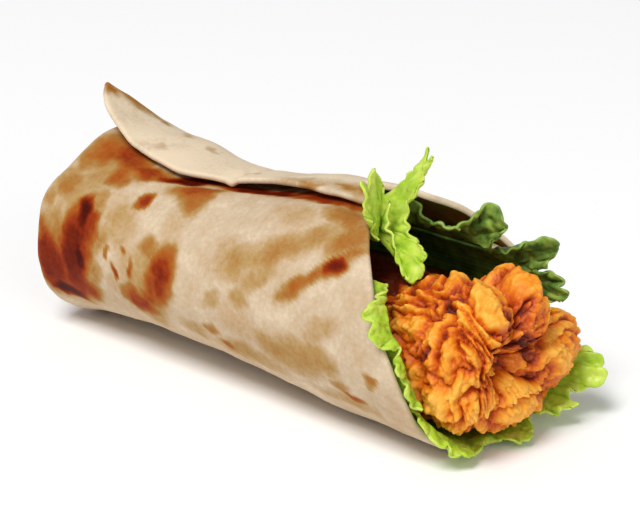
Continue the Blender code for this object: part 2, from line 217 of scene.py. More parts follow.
def curve(table, place):
    """The value at a place on the smooth line through a table's (place, value) rows."""
    if place <= table[0][0]:
        return table[0][1]
    if place >= table[-1][0]:
        return table[-1][1]
    after = next(index for index, row in enumerate(table) if row[0] >= place)
    slopes = []
    for index in (after - 1, after):
        left, right = table[max(index - 1, 0)], table[min(index + 1, len(table) - 1)]
        ends = index in (0, len(table) - 1)
        slopes.append(0.0 if ends else (right[1] - left[1]) / (right[0] - left[0]))
    (x0, y0), (x1, y1) = table[after - 1], table[after]
    width = x1 - x0
    t = (place - x0) / width
    return (
        (2 * t**3 - 3 * t * t + 1) * y0
        + (t**3 - 2 * t * t + t) * width * slopes[0]
        + (3 * t * t - 2 * t**3) * y1
        + (t**3 - t * t) * width * slopes[1]
    )


def folded(angle):
    """The angle brought between -180 and 180 degrees."""
    return math.remainder(angle, math.tau)


def roll_half_width(x):
    return blend(END_HALF_WIDTH, MOUTH_HALF_WIDTH, x / ROLL_LENGTH + 1)


def top_hollow(x, angle):
    """How far the top is pressed in under the flap. It ends in a ridge at the front."""
    near_end = smooth(-ROLL_LENGTH, -ROLL_LENGTH + 0.02, x)
    edge = math.radians(curve(FLAP_EDGE, x))
    front = 1 - smooth(*(edge + math.radians(past) for past in HOLLOW_FRONT), angle)
    back = smooth(*(math.radians(place) for place in HOLLOW_BACK), angle)
    return HOLLOW_DEPTH * near_end * front * back


def end_flat(x, angle):
    """How much of its radius the closed end has lost where it is pressed flat."""
    near_end = smooth(*END_FLATS_REACH, x)
    if near_end == 0:
        return 0.0
    degrees = math.degrees(angle)
    return near_end * sum(
        depth * math.exp(-(((degrees - place) / width) ** 2)) for place, width, depth in END_FLATS
    )


def roll_point(x, angle, depth=0.0, scale=1.0):
    """A point of the roll, this deep below its outer face. Scale draws it towards the middle."""
    top, bottom = curve(ROLL_TOPS, x), curve(ROLL_BOTTOMS, x)
    half_height = (top - bottom + UNDERSIDE_FLAT) / 2
    middle = top - half_height
    inset = depth + top_hollow(x, folded(angle))
    pressed = 1 - end_flat(x, folded(angle))
    y = -(roll_half_width(x) * pressed - inset) * math.sin(angle)
    z = max(middle + (half_height * pressed - inset) * math.cos(angle), bottom + depth)
    return Vector((x, y * scale, blend(middle, z, scale)))


def rim_x(angle):
    """Where the tortilla's round edge lies when it is rolled up."""
    arc = abs(folded(angle - SHEET_MIDDLE_ANGLE)) * MOUTH_HALF_WIDTH * 0.95
    drop = TORTILLA_RADIUS - math.sqrt(TORTILLA_RADIUS**2 - arc**2)
    shift = MM * curve(RIM_SHIFTS, math.degrees(folded(angle)))
    return RIM_REACH - drop + RIM_WAVE * math.sin(7 * angle) + shift


def sheet_wave(x, angle):
    """How far the sheet stands out from an even roll: soft dents, and the pressed folds."""
    degrees = math.degrees(folded(angle))
    here = Vector((x, 0.03 * math.sin(angle), 0.03 * math.cos(angle)))
    height = sum(deep * noise.noise(here / wide) for wide, deep in DENTS)
    for x0, a0, x1, a1, depth, width in FOLDS:
        along = Vector((x1 - x0, (a1 - a0) / 2))
        off = Vector((x * 1000 - x0, (degrees - a0) / 2))
        share = min(1.0, max(0.0, off.dot(along) / along.length_squared))
        away = (off - along * share).length / width
        if away < 3:
            ends = math.sin(math.pi * min(0.98, max(0.02, share))) ** 0.5
            height -= depth * MM * math.exp(-away * away) * ends
    return height * (1 - 0.8 * smooth(140, 165, abs(degrees)))


def back_lift(x, angle):
    """At the back the sheet rises off the turn below and becomes the flap."""
    degrees = math.degrees(folded(angle))
    if degrees > FLAP_ROOT - 1:
        return 0.0
    rise = smooth(-150, FLAP_ROOT - 6, degrees) * smooth(-0.1190, -0.1020, x)
    return (SHEET + ROOT_GAP) * rise


def wall_point(x, angle, depth):
    return roll_point(x, angle, depth - sheet_wave(x, angle) - back_lift(x, angle))


def start_of_turn(angle):
    """How much deeper in the mouth the sheet's first turn starts, under the flap."""
    return MM * curve(INNER_TURN_STARTS, math.degrees(folded(angle)))


def station_x(station, angle, end):
    start = -ROLL_LENGTH + END_ROUNDING
    end -= SHEET / 2
    return blend(start, end, (station / STATIONS) ** STATION_POWER)


def end_relief(y, z):
    """The closed end's folds: the upper one lies over two side tucks, which lie over a lower one."""
    line = FOLD_LINE + 5.0 * y * y + 0.10 * y
    upper = smooth(-FOLD_EDGE, FOLD_EDGE, z - line)
    tuck = smooth(-FOLD_EDGE, FOLD_EDGE, -0.010 + 0.55 * (z - 0.004) - y)
    other = smooth(-FOLD_EDGE, FOLD_EDGE, y - 0.013 + 0.35 * (z - 0.004))
    relief = SIDE_TUCK * (1 - upper) * max(tuck, other) + UPPER_FOLD * upper
    turn = math.atan2(z - line, y)
    fade = smooth(0.003, 0.014, math.hypot(y, z - line))
    pleats = PLEAT * math.sin(9 * turn + 90 * y) * fade
    return relief + pleats * upper


def cap_shape(turn):
    """(x, scale) of the closed end's domed profile: turn is 0 at its middle, 90 at the wall."""
    scale = math.sin(turn) ** END_POWER
    return -ROLL_LENGTH + END_ROUNDING * (1 - math.cos(turn) ** END_POWER), scale


def cap_rings(depth, steps):
    """The rings of the closed end, from its middle to where the straight wall starts."""
    placed = []
    for step in range(1, steps):
        x, scale = cap_shape(math.radians(90 * (step / steps) ** 0.9))
        ring = []
        for column in range(COLUMNS):
            angle = math.tau * column / COLUMNS
            wave = sheet_wave(x, angle) * smooth(0.3, 0.9, scale)
            point = roll_point(x, angle, depth * scale - wave, scale)
            fade = 1 - smooth(0.72, 0.97, scale)
            point.x += depth * (1 - scale) - end_relief(point.y, point.z) * fade
            ring.append(point)
        placed.append(ring)
    return placed


def flap_point(x, across, height):
    """A point of the flap. Across is 0 at its root and 1 at its free edge, and height is the
    distance from its lower face. Where it is peeled it leaves the roll and goes straight on."""
    edge = curve(FLAP_EDGE, x)
    hinge = max(FLAP_ROOT + 4, edge - curve(FLAP_PEEL, x))
    degrees = blend(FLAP_ROOT, edge, across)
    angle = math.radians(degrees)
    gap = blend(ROOT_GAP, curve(FLAP_GAPS, x), across**2)
    clearance = gap + height + sheet_wave(x, angle) + FLAP_ARCH * math.sin(math.pi * across)
    clearance += 0.0004 * math.sin(x * 210 + 1.0) * smooth(hinge, hinge + 25, degrees)
    blister = sum(
        ((place - middle) / size) ** 2
        for place, middle, size in zip((x, across), BLISTER, BLISTER_SIZE)
    )
    clearance += BLISTER_HEIGHT * math.exp(-blister)
    if degrees <= hinge:
        return roll_point(x, angle, -clearance)
    base = roll_point(x, math.radians(hinge), -clearance)
    onward = (roll_point(x, math.radians(hinge + 1), -clearance) - base).normalized()
    onward.x -= FLAP_TIP_LEAN * smooth(-0.110, -0.1190, x)
    return base + onward * math.radians(degrees - hinge) * curve(ROLL_TOPS, x) / 2


def deselect():
    """Clears the selection, because an operator acts on all that is selected."""
    if bpy.context.object and bpy.context.object.mode != "OBJECT":
        bpy.ops.object.mode_set(mode="OBJECT")
    bpy.ops.object.select_all(action="DESELECT")


def object_from(bm, name):
    """A smooth mesh object at the origin, moved with its mesh to where the CAD has it."""
    bmesh.ops.translate(bm, vec=CENTRING, verts=bm.verts)
    mesh = bpy.data.meshes.new(name)
    bm.to_mesh(mesh)
    bm.free()
    mesh.shade_smooth()
    obj = bpy.data.objects.new(name, mesh)
    bpy.context.scene.collection.objects.link(obj)
    return obj


sheet = bmesh.new()
cap = cap_rings(0.0, 56)
inner_cap = cap_rings(SHEET, 10)
angles = [math.tau * column / COLUMNS for column in range(COLUMNS)]
root = round(FLAP_ROOT / 360 * COLUMNS) % COLUMNS
ends = [rim_x(a) - start_of_turn(a) for a in angles]
outer = [
    [wall_point(station_x(s, a, end), a, 0.0) for a, end in zip(angles, ends)]
    for s in range(STATIONS + 1)
]
rim = []
for step in range(1, EDGE_STEPS):
    turn = math.pi * step / EDGE_STEPS
    beyond, down = SHEET / 2 * (math.sin(turn) - 1), SHEET / 2 * (1 - math.cos(turn))
    rim.append([wall_point(end + beyond, a, down) for a, end in zip(angles, ends)])
inner = []
for step in range(INNER_STATIONS + 1):
    station = STATIONS * (1 - (step / INNER_STATIONS) ** 1.4)
    inner.append(
        [wall_point(station_x(station, a, end), a, SHEET) for a, end in zip(angles, ends)]
    )
rings = [
    [sheet.verts.new(point) for point in ring]
    for ring in cap + outer + rim + inner + inner_cap[::-1]
]
first = len(cap)
for number, (ring, following) in enumerate(zip(rings, rings[1:])):
    for column in range(COLUMNS):
        if first <= number < first + STATIONS and column == root - 1:
            continue
        beside = (column + 1) % COLUMNS
        sheet.faces.new((ring[column], ring[beside], following[beside], following[column]))
for ring in (rings[0], rings[-1]):
    pole = sheet.verts.new(sum((vert.co for vert in ring), Vector()) / COLUMNS)
    for column in range(COLUMNS):
        sheet.faces.new((ring[column], pole, ring[(column + 1) % COLUMNS]))

# The flap: its upper and lower faces, its rounded free edge and its rounded ends
uppers, lowers = [], []
for station in range(STATIONS + 1):
    ring = rings[first + station]
    upper, lower = [ring[root - 1]], [ring[root]]
    for column in range(FLAP_COLUMNS + 1):
        across = column / FLAP_COLUMNS
        angle = math.radians(blend(FLAP_ROOT, FLAP_EDGE[-1][1], across))
        x = station_x(station, angle, rim_x(angle))
        upper.append(sheet.verts.new(flap_point(x, across, SHEET)))
        if column:
            lower.append(sheet.verts.new(flap_point(x, across, 0.0)))
    round_edge = []
    for step in range(1, EDGE_STEPS):
        turn = math.pi * step / EDGE_STEPS
        beyond = 1 + 0.02 * math.sin(turn)
        high = SHEET / 2 * (1 + math.cos(turn))
        round_edge.append(sheet.verts.new(flap_point(x, beyond, high)))
    uppers.append(upper)
    lowers.append([*lower, *round_edge[::-1], upper[-1]])
for upper, following in zip(uppers, uppers[1:]):
    for a, b, c, d in zip(upper, upper[1:], following[1:], following):
        sheet.faces.new((a, b, c, d))
for lower, following in zip(lowers, lowers[1:]):
    for a, b, c, d in zip(lower, lower[1:], following[1:], following):
        sheet.faces.new((a, b, c, d))
for station, way in ((0, -1), (STATIONS, 1)):
    upper, lower = uppers[station][1:], lowers[station][: FLAP_COLUMNS + 1]
    strips = [upper]
    for step in range(1, EDGE_STEPS):
        turn = math.pi * step / EDGE_STEPS
        strip = []
        for column in range(FLAP_COLUMNS):
            point = lower[column].co.lerp(upper[column].co, (1 + math.cos(turn)) / 2)
            point.x += way * SHEET / 2 * math.sin(turn)
            strip.append(sheet.verts.new(point))
        strip.append(lowers[station][-1 - step])
        strips.append(strip)
    strips.append(lower)
    for strip, following in zip(strips, strips[1:]):
        for a, b, c, d in zip(strip, strip[1:], following[1:], following):
            if len({a, b, c, d}) == 4:
                sheet.faces.new((a, b, c, d))
            elif len({a, b, c, d}) == 3:
                sheet.faces.new([*dict.fromkeys((a, b, c, d))])
        sheet.faces.new((uppers[station][0], strip[0], following[0]))
bmesh.ops.recalc_face_normals(sheet, faces=sheet.faces)
if sheet.calc_volume(signed=True) < 0:
    bmesh.ops.reverse_faces(sheet, faces=sheet.faces)
tortilla = object_from(sheet, "flour_tortilla")

# Toasted patches on the roll, and patches of painted shade: (x mm, degrees, half length mm, half
# width mm, turn, brownness)
ROLL_TOAST_AND_SHADE = (
    # This one, on the closed end's upper shoulder, is toast made darker as painted shade
    (-115.0, 19, 8, 6.0, 90, 0.55),
    (-90.0, 61, 7, 6.0, 60, 0.27),
    (-107.0, 17, 7, 5.0, 20, 0.58),
    (-115.0, 102, 9, 6.0, 90, 0.78),
    (-76.0, 92, 12, 7.0, 95, 0.36),
    (-114.0, 97, 13, 8.0, 92, 0.50),
    (-108.0, 34, 8, 6.0, 60, 0.34),
    (-112.0, 50, 8, 5.0, 80, 0.28),
    (-101.0, 35, 4, 3.0, 20, 0.50),
    (-101.5, 52, 4, 3.0, 60, 0.38),
    (-96.0, 74, 4.5, 3.0, 80, 0.36),
    (-98.5, 97, 4, 3.5, 80, 0.42),
    (-74.5, 87, 5, 3.5, 95, 0.62),
    (-73.0, 50, 8, 5.0, 60, 0.22),
    (-34.0, 29, 9, 4.0, 0, 0.24),
    (-14.0, 36, 7, 4.0, -40, 0.42),
    (-12.0, 83, 7, 3.5, -30, 0.28),
    (-84.0, 92, 10, 6.0, 90, 0.22),
    (-38.0, 62, 13, 8.0, -40, 0.16),
    (-30.0, 102, 20, 7.0, 5, 0.20),
    (-106.0, 90, 15, 6.5, 97, 0.84),
    (-104.5, 62, 5, 3.0, 80, 0.96),
    (-103.5, 92, 4.0, 2.4, 80, 1.00),
    (-112.0, 119, 6, 3.0, 10, 1.00),
    (-101.0, 66, 5, 3.0, 60, 0.66),
    (-102.5, 112, 5, 4, 20, 0.66),
    (-118.0, 98, 10, 4, 90, 0.80),
    (-116.0, 47, 6, 4.5, 60, 0.40),
    (-119.0, 60, 4, 2.5, 70, 0.34),
    (-114.0, 22, 3.0, 1.8, 20, 0.50),
    (-71.0, 80, 8.5, 4.4, 95, 0.70),
    (-71.0, 80, 4.0, 2.4, 88, 0.77),
    (-75.5, 98, 5, 3.4, 130, 0.64),
    (-80.0, 105, 7.0, 3.6, 20, 0.68),
    (-77.5, 66, 4, 3, 40, 0.42),
    (-92.5, 81, 1.6, 1.0, 70, 0.60),
    (-89.0, 91, 2.2, 1.0, 75, 0.74),
    (-86.5, 75, 1.6, 1.0, 60, 0.55),
    (-82.5, 83, 3.2, 1.1, 78, 0.62),
    (-88.5, 60, 3, 1.6, 60, 0.30),
    (-90.0, 100, 4, 3, 30, 0.24),
    (-87.8, 39.5, 3.4, 1.7, -79, 0.76),
    # These three, under the lifted flap, are toast and painted shade from the flap
    (-106.0, 15, 12, 5.5, 30, 0.62),
    (-97.0, 21, 8, 3.6, -18, 0.67),
    (-103.0, 31, 5, 4, 100, 0.58),
    # These three strokes along the flap's free edge are painted shade in the gap under it
    (-84.0, 12.5, 9, 2.4, -25, 0.98),
    (-58.0, 6, 18, 2.6, 0, 0.94),
    (-32.0, 10, 15, 2.8, 0, 0.70),
    (-76.0, 21, 8, 3.6, -18, 0.62),
    (-72.5, 29, 6, 4.8, 85, 0.50),
    (-20.0, 23, 9, 4.6, 15, 0.44),
    (-14.0, 28, 5, 3.4, 10, 0.42),
    (-44.0, 61, 9, 4.0, -40, 0.34),
    (-35.0, 54, 10, 4.2, -40, 0.36),
    (-36.5, 68, 7, 3.0, -38, 0.33),
    (-50.0, 53, 6, 3.0, -40, 0.22),
    (-25.0, 42, 9, 4.0, -40, 0.34),
    (-23.0, 67, 7.0, 2.5, -43, 0.48),
    (-18.0, 57.5, 5.0, 2.1, -43, 0.52),
    (-13.0, 50, 3.4, 2.2, -43, 0.88),
    (-10.0, 42.5, 4.5, 1.9, -50, 0.42),
    (-23.0, 104, 12, 6, 0, 0.32),
    (-32.0, 102, 5, 4, 30, 0.30),
    (-12.0, 98, 6, 4, 0, 0.32),
    (-53.5, 108, 2.6, 1.6, 0, 0.44),
    (-49.0, 117, 2.8, 1.4, 0, 0.52),
    (-60.0, 112, 6, 3, 0, 0.26),
    (-51.5, 87, 5, 2.4, -40, 0.28),
    (-41.0, 82, 4, 2.4, 0, 0.26),
    (-40.0, 118, 14, 4, 0, 0.30),
    (-8.0, 122, 12, 3, 0, 0.28),
    (-3.5, 116, 3.6, 1.3, 20, 0.64),
    (4.5, 100, 2.4, 1.6, 60, 0.52),
    (-7.5, 111, 3, 2, 0, 0.36),
    (-124.0, -20, 9, 6, 40, 0.66),
    (-125.0, 150, 7, 4, 10, 0.74),
    (-125.5, -120, 5, 3, 60, 0.60),
    (-118.0, -90, 8, 6, 30, 0.72),
)
# Toasted patches on the flap's upper face, in the same way, but with across for the angle
FLAP_TOAST = (
    (-118.6, 0.74, 2.4, 11, 0, 0.42),
    (-118.2, 0.97, 2.0, 2.0, 20, 0.52),
    (-115.0, 0.54, 1.8, 1.1, 20, 0.42),
    (-99.0, 0.90, 2.2, 1.6, 20, 0.15),
    (-105.5, 0.55, 2.0, 1.2, 40, 0.26),
    (-103.0, 0.60, 2.4, 1.4, 10, 0.16),
    (-91.0, 0.65, 2.2, 1.4, 30, 0.24),
    (-68.0, 0.86, 2.4, 1.2, 10, 0.24),
    (-44.0, 0.97, 9, 2.0, 0, 0.22),
    (-24.0, 0.93, 11, 3.4, 4, 0.27),
    (-41.0, 0.99, 5, 1.0, 0, 0.36),
    (-29.0, 0.93, 6, 1.6, 0, 0.40),
    (-22.0, 0.92, 5, 2.4, 10, 0.42),
)
# How a patch fades from its middle to its edge: (shares of its size, shares of its brownness)
PATCH_FADE = ((0.45, 0.95, 1.2, 1.75), (1.0, 0.68, 0.34, 0.0))
PATCH_REACH = 0.010


def toast_and_shade(spots, patches, point_at):
    """How brown each spot is: the darkest of the patches that reach it."""
    brown = np.zeros(len(spots))
    for x, place, length, width, turned, darkest in patches:
        middle = point_at(x * MM, place)
        along = (point_at(x * MM + 0.0005, place) - point_at(x * MM - 0.0005, place)).normalized()
        step = 0.5 if point_at is on_roll else 0.005
        around = (point_at(x * MM, place + step) - point_at(x * MM, place - step)).normalized()
        turn = math.radians(turned)
        first_axis = along * math.cos(turn) + around * math.sin(turn)
        second_axis = around * math.cos(turn) - along * math.sin(turn)
        through = first_axis.cross(second_axis)
        off = spots - np.array(middle + CENTRING)
        reach = np.sqrt(
            (off @ np.array(first_axis) / (length * MM)) ** 2
            + (off @ np.array(second_axis) / (width * MM)) ** 2
            + (off @ np.array(through) / PATCH_REACH) ** 2
        )
        brown = np.maximum(brown, darkest * np.interp(reach, *PATCH_FADE))
    return brown


def on_roll(x, degrees):
    if x > -ROLL_LENGTH + END_ROUNDING:
        return roll_point(x, math.radians(degrees))
    beyond = max(x, -ROLL_LENGTH + 0.0002) + ROLL_LENGTH
    turn = math.acos((1 - beyond / END_ROUNDING) ** (1 / END_POWER))
    x, scale = cap_shape(turn)
    return roll_point(x, math.radians(degrees), 0, scale)


def on_flap(x, across):
    return flap_point(max(x, -0.1185), across, SHEET)


spots = np.empty(len(tortilla.data.vertices) * 3)
tortilla.data.vertices.foreach_get("co", spots)
spots = spots.reshape(-1, 3)
warp = np.array(
    [
        noise.noise_vector(Vector(spot) / 0.0042) * 0.0016
        + noise.noise_vector(Vector(spot) / 0.0017) * 0.0006
        for spot in spots
    ]
)


def random_patches(number, xs, places, sizes, longest, shades):
    """Patches at random places, for the faces that the photo doesn't show."""
    patches = []
    for _ in range(number):
        x, place, size = (random.uniform(*span) for span in (xs, places, sizes))
        length, turned = size * random.uniform(1, longest), random.uniform(0, 180)
        patches.append((x, place, length, size, turned, random.choice(shades)))
    return patches


# They all lie at the back and below: those that fall on the top are moved round to the back
unseen = [
    (x, degrees - 120 if degrees > -60 else degrees, *others)
    for x, degrees, *others in random_patches(
        64, (-118, 8), (-178, 44), (1.2, 4.5), 2.2, (0.3, 0.42, 0.55, 0.7, 0.88)
    )
]
flap_unseen = random_patches(16, (-108, -6), (0.02, 0.42), (1.0, 3.0), 2, (0.3, 0.42, 0.55))
# Which part of the sheet a vertex is on, from the order in which they were made
first_inner = (len(cap) + len(outer) + len(rim)) * COLUMNS
flap_start = len(rings) * COLUMNS + 2
index = np.arange(len(spots))
is_flap = index >= flap_start
per_station = 2 * FLAP_COLUMNS + EDGE_STEPS
in_station = (index - flap_start) % per_station
is_strip = is_flap & (index < flap_start + (STATIONS + 1) * per_station)
is_inner = (index >= first_inner) & (index < flap_start)
is_under = is_strip & (in_station > 1) & (in_station <= 2 * FLAP_COLUMNS) & (in_station % 2 == 0)
# The patches at the back run on from the roll to the flap's upper face
shared = np.maximum(
    toast_and_shade(spots + warp, unseen, on_roll), toast_and_shade(spots + warp, flap_unseen, on_flap)
)
pale = np.where(is_strip, np.clip(0.12 - 0.30 * in_station / per_station, 0, 1), 0.12 * ~is_flap)
own = np.where(
    is_flap, toast_and_shade(spots + warp, FLAP_TOAST, on_flap), toast_and_shade(spots + warp, ROLL_TOAST_AND_SHADE, on_roll)
)
brown = np.maximum.reduce([shared, pale, own])
# The inside is golden brown, and darker only behind the darkest patches
brown = np.where(is_inner | is_under, np.maximum(0.44, brown * 0.6), brown)
attribute = tortilla.data.attributes.new("toast_and_shade", "FLOAT", "POINT")
attribute.data.foreach_set("value", brown.astype(np.float32))


def colour(hexa):
    """A hex sRGB colour as the linear colour that a shader reads."""
    parts = [int(hexa[i : i + 2], 16) / 255 for i in (1, 3, 5)]
    linear = [p / 12.92 if p <= 0.04045 else ((p + 0.055) / 1.055) ** 2.4 for p in parts]
    return (*linear, 1.0)


def add(tree, kind, settings=None, links=None, stops=None):
    """Adds a node, sets its fields and inputs, and links its inputs to other nodes' outputs."""
    node = tree.nodes.new(kind)
    for name, value in (settings or {}).items():
        if isinstance(name, int) or name in node.inputs:
            node.inputs[name].default_value = value
        else:
            setattr(node, name, value)
    for name, output in (links or {}).items():
        tree.links.new(output, node.inputs[name])
    if stops:
        ramp = node.color_ramp
        while len(ramp.elements) < len(stops):
            ramp.elements.new(1.0)
        for element, (place, shade) in zip(ramp.elements, stops):
            element.position = place
            element.color = colour(shade)
    return node


def new_material(name):
    material = bpy.data.materials.new(name)
    material.use_nodes = True
    material.node_tree.nodes.clear()
    return material, material.node_tree


def mottled(tree, place, level, layers):
    """A level with two layers of noise on it: (size, detail, roughness, lowest, highest)."""
    changes = []
    for size, detail, rough, low, high in layers:
        pattern = add(
            tree, "ShaderNodeTexNoise", {"Scale": 1 / size, "Detail": detail, "Roughness": rough},
            {"Vector": place.outputs["Object"]},
        )
        change = add(
            tree, "ShaderNodeMapRange",
            {"From Min": 0.3, "From Max": 0.7, "To Min": low, "To Max": high},
            {"Value": pattern.outputs["Fac"]},
        )
        changes.append(change.outputs["Result"])
    both = add(tree, "ShaderNodeMath", {"operation": "ADD"}, {0: changes[0], 1: changes[1]})
    whole = add(
        tree, "ShaderNodeMath", {"operation": "ADD"}, {0: level, 1: both.outputs["Value"]}
    )
    return whole.outputs["Value"]


# Wheat flour dough, pressed and toasted: a matt, floury cream that turns golden, then red-brown,
# then nearly black where the hot plate touched it. The same shades also paint shade under the flap
flatbread, tree = new_material("toasted_flatbread")
place = add(tree, "ShaderNodeTexCoord")
browning_and_shade = add(tree, "ShaderNodeAttribute", {"attribute_name": "toast_and_shade"})
# The toasting's fine speckle, 1.3 mm across, and clouds of paler and deeper dough, 9 mm across
browned_and_shaded = mottled(
    tree, place, browning_and_shade.outputs["Fac"],
    ((0.0013, 3.0, 0.6, -0.04, 0.04), (0.009, 2.0, 0.5, -0.05, 0.07)),
)
shades = add(
    tree, "ShaderNodeValToRGB", None, {"Fac": browned_and_shaded},
    stops=(
        (0.00, "#e3cfb2"),
        (0.12, "#cbb598"),
        (0.20, "#c2a582"),
        (0.30, "#b2905c"),
        (0.42, "#a67338"),
        (0.55, "#a4591d"),
        (0.70, "#8f310e"),
        (0.86, "#681a05"),
        (1.00, "#420d03"),
    ),
)
roughness = add(
    tree, "ShaderNodeMapRange", {"To Min": 0.70, "To Max": 0.58},
    {"Value": browning_and_shade.outputs["Fac"]},
)
# Grain of the floury face, 0.7 mm across
grain = add(
    tree, "ShaderNodeTexNoise", {"Scale": 1 / 0.0007, "Detail": 2.0, "Roughness": 0.6},
    {"Vector": place.outputs["Object"]},
)
bump = add(
    tree, "ShaderNodeBump", {"Strength": 0.35, "Distance": 0.00012},
    {"Height": grain.outputs["Fac"]},
)
surface = add(
    tree, "ShaderNodeBsdfPrincipled", {"IOR": 1.4, "Specular IOR Level": 0.10,
                                       "Subsurface Weight": 0.08, "Subsurface Scale": 0.002},
    {
        "Base Color": shades.outputs["Color"],
        "Roughness": roughness.outputs["Result"],
        "Normal": bump.outputs["Normal"],
    },
)
add(tree, "ShaderNodeOutputMaterial", None, {"Surface": surface.outputs["BSDF"]})
tortilla.data.materials.append(flatbread)
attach(tortilla, "root")
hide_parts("tortilla")

# ------------------------------------------------------------------ chicken
# The chicken is one fillet in a crisp breading: flour and batter that fried into knobs, flakes
# and deep creases. Its high places are golden, partly as painted highlight, and its creases
# red-brown, partly as painted shade; deep in the roll it is painted darker as shade. It lies in the
# roll and bulges out of the mouth.

FILLET_HALF_WIDTH = 0.0250
FILLET_HALF_HEIGHT = 0.0204
FREE_MIDDLE = Vector((0, 0.0004, 0.0248))
PACKED_MIDDLE = Vector((0, -0.0010, 0.0249))
FILLET_FRONT = 0.0292
FILLET_BACK = -0.1105
FRONT_ROUNDING = 0.012
BACK_ROUNDING = 0.010
NECK = -0.012
# The shares of the rings at which the rounded front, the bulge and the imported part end
FRONT_SHARE = 0.56
BULGE_SHARE = 0.84
PACKED_SHARE = 0.96
PACKED_SCALE = 0.73
PACKED_SINK = 0.15
SIDE_SWELLS = (0.10, 0.06)
PIT_DEPTH = 0.0085
PIT_ASIDE = -0.0075
# (direction seen from the mouth in degrees, size) of the fillet's outline, which has five lobes
OUTLINE = (
    (-90, 0.95), (-60, 0.97), (-42, 1.00), (-20, 1.03), (-4, 1.01), (7, 0.90),
    (19, 0.68), (33, 0.61), (45, 0.66), (57, 0.81), (67, 0.93), (78, 0.86),
    (88, 0.62), (98, 0.80), (110, 0.97), (125, 0.89), (138, 0.82), (158, 0.87),
    (186, 0.93), (206, 0.98), (222, 0.99), (234, 0.97), (247, 0.95), (270, 0.95),
)
# The creases that run into the pit: (direction, depth)
CREASES = (
    (14, 0.0052),
    (88, 0.0034),
    (140, 0.0018),
    (186, 0.0016),
    (234, 0.0020),
    (-52, 0.0018),
)
CREASE_HALF_ANGLE = math.radians(12)
# The batter's folds run away from the pit, and downwards at the near side
FOLD_SIZE = 0.0050
FOLD_HEIGHT = 0.0026
SECOND_SIZE = 0.55 * FOLD_SIZE
SECOND_HEIGHT = 0.0010
# What bends the folds: (how wide, how far)
BENDS = ((0.0085, 0.0036), (0.0028, 0.0009))
KNOB_SIZE = 0.0023
KNOB_HEIGHT = 0.0010
GRAIN_SIZE = 0.0009
GRAIN_HEIGHT = 0.00036
# Where the crust is browner or paler, partly its own colour and partly painted shade and painted
# light: (x, y, z, radius, change), in mm but for the change
CRUST_TONES = (
    (14, -14, 40, 3.6, -0.30),
    (18, -21, 35, 2.8, -0.24),
    (15, -24, 29, 2.8, -0.24),
    (7, -19, 33, 4.0, -0.12),
    (25, -3, 29, 4.0, -0.20),
    (24, 1, 23, 3.5, -0.14),
    (27, 6, 34, 3.0, -0.18),
    (25, 4, 20, 2.8, -0.14),
    (23, -5, 23, 2.6, -0.10),
    (19, -16, 38.5, 2.4, 0.30),
    (23, -12, 37, 3.0, 0.16),
    (25, -16, 34, 3.0, 0.12),
    (27, 15, 24, 7.0, 0.20),
    (25, -21, 26, 3.5, 0.12),
    (28, -3, 14, 8.0, 0.18),
    (25, 3, 27, 3.4, -0.26),
    (24, 5, 31, 2.4, -0.20),
    (27, -4, 30, 3.0, -0.16),
    (21, -24, 21, 7.0, 0.34),
    (8, -20, 31, 6.0, 0.20),
    (26, -14, 17, 6.0, 0.14),
    (26, -1, 26, 3.6, -0.08),
    (25, -9, 42, 4.0, 0.12),
)


def crease_depth(angle):
    depth = 0.0
    for direction, deepest in CREASES:
        off = folded(angle - math.radians(direction))
        depth += deepest * math.exp(-((off / CREASE_HALF_ANGLE) ** 2))
    return depth


def crust(point):
    """The crust's height, and its colour level between 0 and 1: high on the folds and knobs, which
    paints highlights, and low in the creases, which paints shade; the tones below shift it.
    """
    middle = Vector((point.x, PIT_ASIDE, FREE_MIDDLE.z))
    aside = point - middle
    radial = middle + aside * (0.0105 / max(0.006, aside.length)) ** 0.42
    hanging = Vector((point.x, point.y, point.z * 0.5))
    bent = radial.lerp(hanging, smooth(-0.011, -0.018, point.y))
    for wide, far in BENDS:
        bent += noise.noise_vector(point / wide) * far
    fold = min(1.0, 2.3 * abs(noise.noise(bent / FOLD_SIZE)))
    second = min(1.0, 2.6 * abs(noise.noise(bent / SECOND_SIZE + Vector((7, 3, 5)))))
    near = noise.voronoi((point + noise.noise_vector(point / 0.0020) * 0.0006) / KNOB_SIZE)[0]
    knob = max(0.0, 1 - (near[0] / 0.75) ** 2)
    edge = min(1.0, (near[1] - near[0]) * 3.5)
    grain = noise.noise(point / GRAIN_SIZE)
    height = FOLD_HEIGHT * (fold**0.6 - 0.6) + SECOND_HEIGHT * (second**0.6 - 0.6)
    height += KNOB_HEIGHT * (knob - 0.4) * edge + GRAIN_HEIGHT * grain
    high = 0.62 * fold**0.85 + 0.14 * second**0.7 + 0.12 * knob * edge + 0.06 * grain
    for x, y, z, radius, change in CRUST_TONES:
        off = (point - Vector((x, y, z)) * MM).length / (radius * MM)
        if off < 2.2:
            high += change * math.exp(-off * off)
    return height, high


def fillet_profile(share):
    """(x, scale) of the fillet's rings, from the middle of its front to the middle of its back."""
    shoulder = FILLET_FRONT - FRONT_ROUNDING
    if share < FRONT_SHARE:
        turn = share / FRONT_SHARE * math.pi / 2
        return shoulder + FRONT_ROUNDING * math.cos(turn) ** 0.8, math.sin(turn) ** 0.85
    if share < BULGE_SHARE:
        return blend(shoulder, NECK, (share - FRONT_SHARE) / (BULGE_SHARE - FRONT_SHARE)), 1.0
    if share < PACKED_SHARE:
        along = (share - BULGE_SHARE) / (PACKED_SHARE - BULGE_SHARE)
        return blend(NECK, FILLET_BACK + BACK_ROUNDING, along), 1.0
    turn = (share - PACKED_SHARE) / (1 - PACKED_SHARE) * math.pi / 2
    return FILLET_BACK + BACK_ROUNDING * (1 - math.sin(turn)), math.cos(turn)


